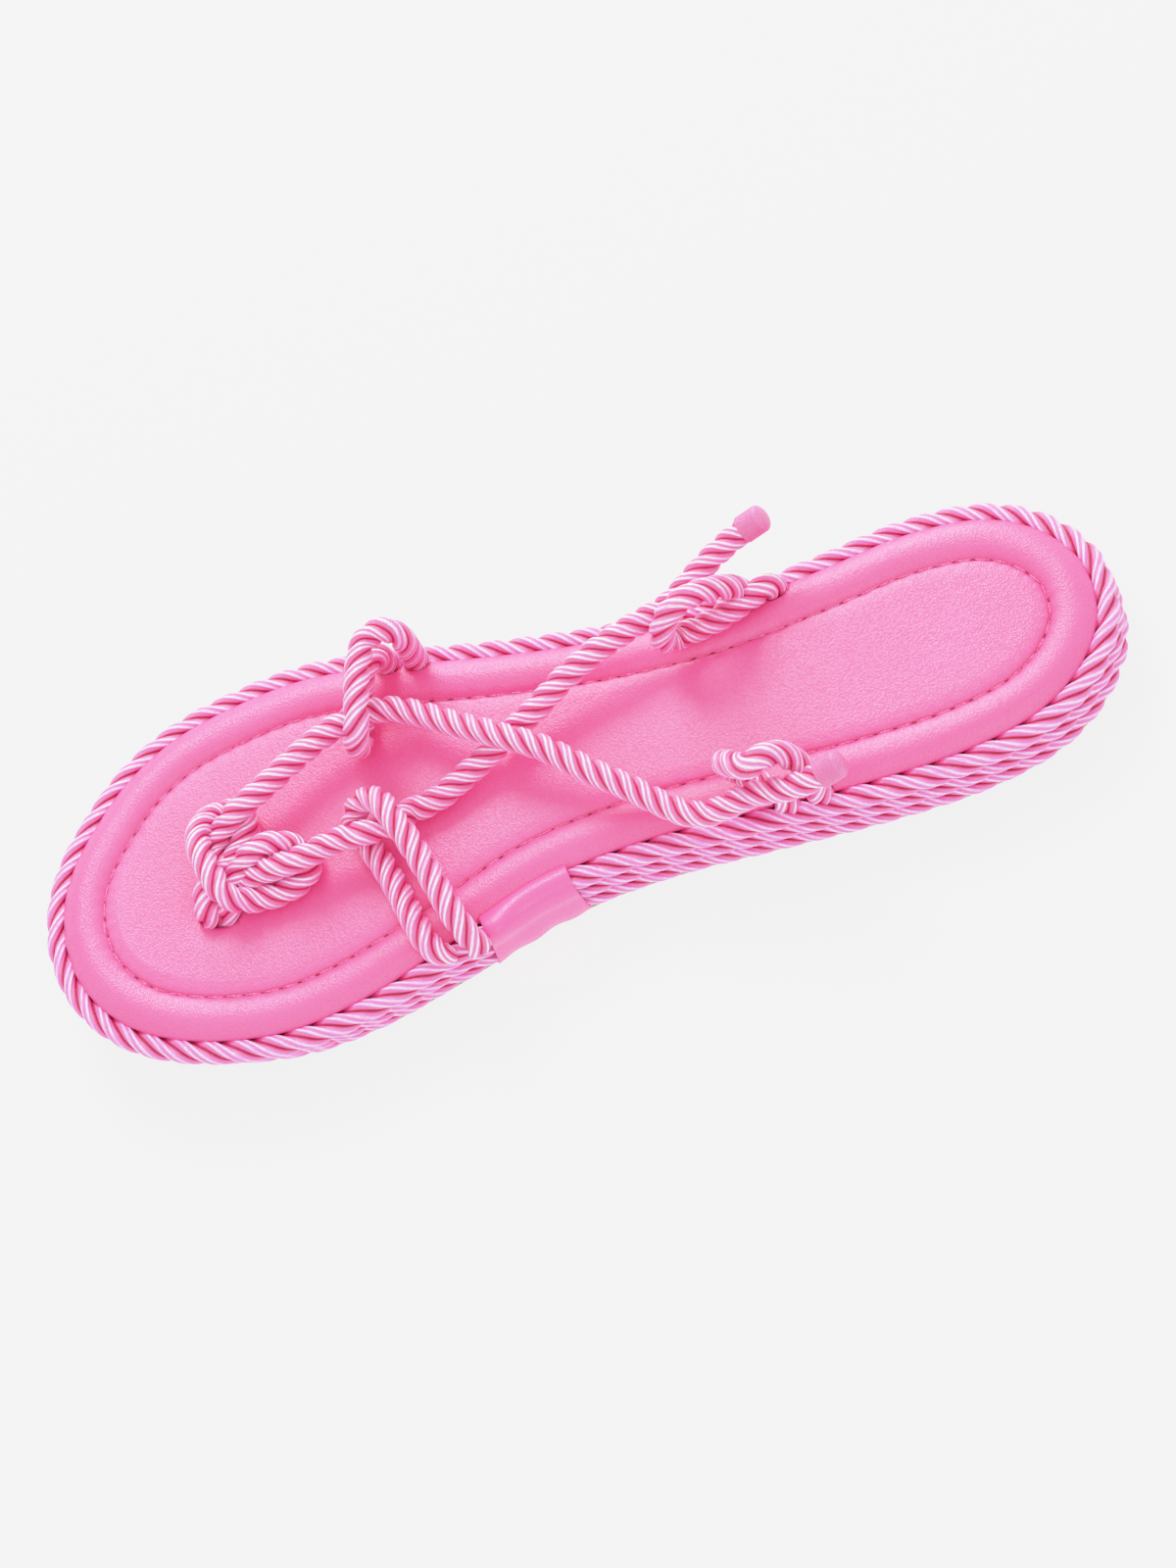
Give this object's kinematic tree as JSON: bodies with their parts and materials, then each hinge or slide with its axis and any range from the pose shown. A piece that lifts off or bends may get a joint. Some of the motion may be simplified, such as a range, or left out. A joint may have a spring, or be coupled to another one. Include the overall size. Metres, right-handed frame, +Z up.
{
  "type": "rope sandal",
  "caption": "Flat rope sandal for the right foot: padded footbed edged with stacked twisted rope, and a rope upper with a knotted toe thong, crossing straps and side loops.",
  "frame": {"origin": "on the floor under the middle of the sandal's bounding box", "axes": "+X from toe to heel, +Y from the medial to the lateral side, +Z up"},
  "size_m": [0.2559, 0.0943, 0.04],
  "materials": {
    "outsole_rubber": "matt olive-tan rubber sheet",
    "pink_leather": "pink faux leather with a fine pebbled grain and a soft sheen",
    "welt_rope": "satin twisted rope, three plies",
    "upper_rope": "satin twisted rope, three plies"
  },
  "bodies": {
    "root": {"outsole": "outsole_rubber", "footbed": "pink_leather", "welt_rope_row_1": "welt_rope", "welt_rope_row_2": "welt_rope", "welt_rope_row_3": "welt_rope", "joining_patch": "pink_leather", "upper_rope": "upper_rope", "front_loop_medial": "upper_rope", "front_loop_lateral": "upper_rope", "rear_loop_medial": "upper_rope", "rear_loop_lateral": "upper_rope"}
  },
  "joints": []
}
